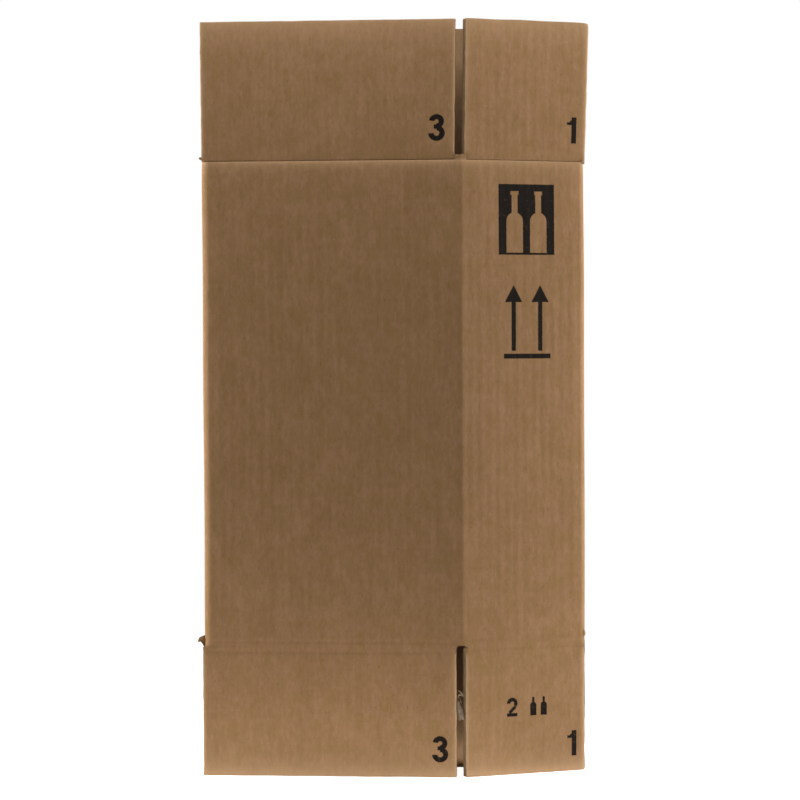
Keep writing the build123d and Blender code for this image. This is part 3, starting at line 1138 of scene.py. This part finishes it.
# Scraps torn at the folds' ends: the spot they hang on, thickness, pull, place of their material in the
# body's list, and outline, counted from that spot along x and z
scraps = {
    "flakeLowLeft": (
        (noseLeft, cornerB.y - 3.0, lowerFold), 1.4, (0.15, 1.0, 0.1), 2,
        [(2.0, 9.2), (-1.0, 8.4), (-3.9, 7.2), (-5.2, 4.2), (-4.4, 3.4), (-3.0, 3.9), (-1.8, 2.6),
         (-0.4, 0.2), (1.5, -0.6)],
    ),
    "flakeTopLeft": (
        (noseLeft, cornerB.y - 1.9, upperFold), 0.9, (0.1, 1.0, 0.0), 2,
        [(2.0, 3.2), (-1.0, 4.0), (-2.4, 3.5), (-2.1, 2.2), (-0.2, 1.2), (0.9, -1.8), (2.6, -1.8)],
    ),
    "flakeTopRight": (
        (noseRight, cornerC.y - 3.8, upperFold), 0.8, (-0.2, 1.0, 0.0), 1,
        [(-1.0, 1.8), (0.5, 1.5), (1.0, 0.0), (0.5, -2.0), (-1.0, -1.4)],
    ),
    "flakeLowRight": (
        (noseRight, cornerC.y - 3.8, lowerFold), 0.8, (-0.2, 1.0, 0.0), 1,
        [(-0.8, 10.6), (0.5, 9.6), (1.0, 7.6), (0.4, 5.6), (-0.8, 5.2)],
    ),
}
bodyShells = [(bodyMesh, 0, 1)] + makeWeb() + rawEdgeSheets()
for name, ((x, y, z), thick, pull, material, outline) in scraps.items():
    flake = tornFlake(name, [(x + across, y, z + up) for across, up in outline], thick, pull)
    bodyShells.append((flake, material, material))
bodyMaterials = [bodyMaterial, edgeMaterial, scrapMaterial]
bodyPiece = newObject("carton_body_board", joinMeshes("carton_body_board", bodyShells, bodyMaterials))
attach(bodyPiece, "tube")
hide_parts("carton_body")
print("body made:", len(bodyPiece.data.polygons), "faces")

# Camera, fitted to the corners of the carton in the photograph
view = {
    "aim": (4.3, 0.0, 293.9),
    "distance": 2069.8,
    "turn": 4.739,
    "pitch": 1.25,
    "roll": -0.232,
    "lens": 118.12,
    "sensor": 36.0,
}


def makeCamera():
    turn, pitch, roll = (radians(view[key]) for key in ("turn", "pitch", "roll"))
    forward = Vector((-sin(turn) * cos(pitch), cos(turn) * cos(pitch), -sin(pitch)))
    right = Vector((cos(turn), sin(turn), 0.0))
    above = right.cross(forward)
    rightTilted = right * cos(roll) + above * sin(roll)
    aboveTilted = above * cos(roll) - right * sin(roll)
    data = bpy.data.cameras.new("photoCamera")
    data.lens = view["lens"]
    data.sensor_width = view["sensor"]
    data.sensor_fit = "HORIZONTAL"
    camera = newObject("photoCamera", data)
    spot = (Vector(view["aim"]) - forward * view["distance"]) * metre
    turnMatrix = Matrix((rightTilted, aboveTilted, -forward)).transposed()
    camera.matrix_world = Matrix.Translation(spot) @ turnMatrix.to_4x4()
    bpy.context.scene.camera = camera


makeCamera()

# Studio: pale floor, white surroundings for the camera, soft lamps
studio = {
    "floorColour": sRgb(236, 236, 236),
    "floorWhite": 0.93,  # camera rays see the floor at least this white
    "floorReach": 9.0,  # metres
    "worldStrength": 0.05,
    # each lamp: where it stands, what it points at, how wide and high it is, watts
    "lamps": [
        ("lampOverhead", (0.0, -0.36, 1.35), (0.0, -0.359, 0.0), (1.0, 0.5), 4.6),
        ("lampFront", (-1.7, -1.9, 0.7), (0.0, 0.0, 0.35), (0.8, 0.8), 4.4),
        ("lampAbove", (0.0, -0.20, 0.78), (0.0, -0.03, 0.55), (0.6, 0.1), 0.55),
        ("lampFloor", (0.0, -0.10, 0.006), (0.0, -0.05, 0.04), (0.5, 0.04), 0.13),
        ("lampLeft", (-0.65, 0.0, 0.33), (-0.1, 0.0, 0.33), (0.3, 0.7), 5.5),
        ("lampRight", (0.65, 0.10, 0.33), (0.1, 0.0, 0.33), (0.3, 0.7), 5.9),
        ("lampUnder", (0.05, 0.006, 0.003), (0.05, 0.006, 1.0), (0.03, 0.01), 0.005),
    ],
}


def seenDirectly(tree):
    # 1 for rays from the camera, off gloss or through something clear
    rays = addNode(tree, "ShaderNodeLightPath").outputs
    bounced = larger(tree, rays["Is Glossy Ray"], rays["Is Transmission Ray"])
    return larger(tree, rays["Is Camera Ray"], bounced)


def makeStudio():
    world = bpy.data.worlds.new("studio")
    bpy.context.scene.world = world
    world.use_nodes = True
    tree = world.node_tree
    tree.nodes.clear()
    white = (1.0, 1.0, 1.0, 1.0)
    soft, bright = (
        addNode(tree, "ShaderNodeBackground", {"Color": white, "Strength": strength}).outputs[0]
        for strength in (studio["worldStrength"], 1.0)
    )
    mix = addNode(tree, "ShaderNodeMixShader", {0: seenDirectly(tree), 1: soft, 2: bright})
    addNode(tree, "ShaderNodeOutputWorld", {0: mix.outputs[0]})

    floorMaterial = bpy.data.materials.new("paleFloor")
    floorMaterial.use_nodes = True
    tree = floorMaterial.node_tree
    shader = tree.nodes["Principled BSDF"]
    glow = times(tree, seenDirectly(tree), studio["floorWhite"])
    for socket, value in (
        ("Base Color", studio["floorColour"]), ("Roughness", 0.9), ("Specular IOR Level", 0.1),
        ("Emission Color", white), ("Emission Strength", glow),
    ):
        put(tree, shader.inputs[socket], value)
    reach = studio["floorReach"]
    corners = [(-reach, -reach, 0), (reach, -reach, 0), (reach, reach, 0), (-reach, reach, 0)]
    floorPlane = newObject("floor", meshFrom("floor", corners, [(0, 1, 2, 3)]))
    floorPlane.data.materials.append(floorMaterial)
    for name, place, aim, (wide, high), watts in studio["lamps"]:
        data = bpy.data.lights.new(name, "AREA")
        data.shape = "RECTANGLE"
        data.size = wide
        data.size_y = high
        data.energy = watts
        lamp = newObject(name, data)
        lamp.location = place
        lamp.visible_camera = False
        lamp.rotation_euler = (Vector(aim) - Vector(place)).to_track_quat("-Z", "Y").to_euler()


makeStudio()
bpy.context.scene.view_settings.view_transform = "Standard"
print("studio and camera made")
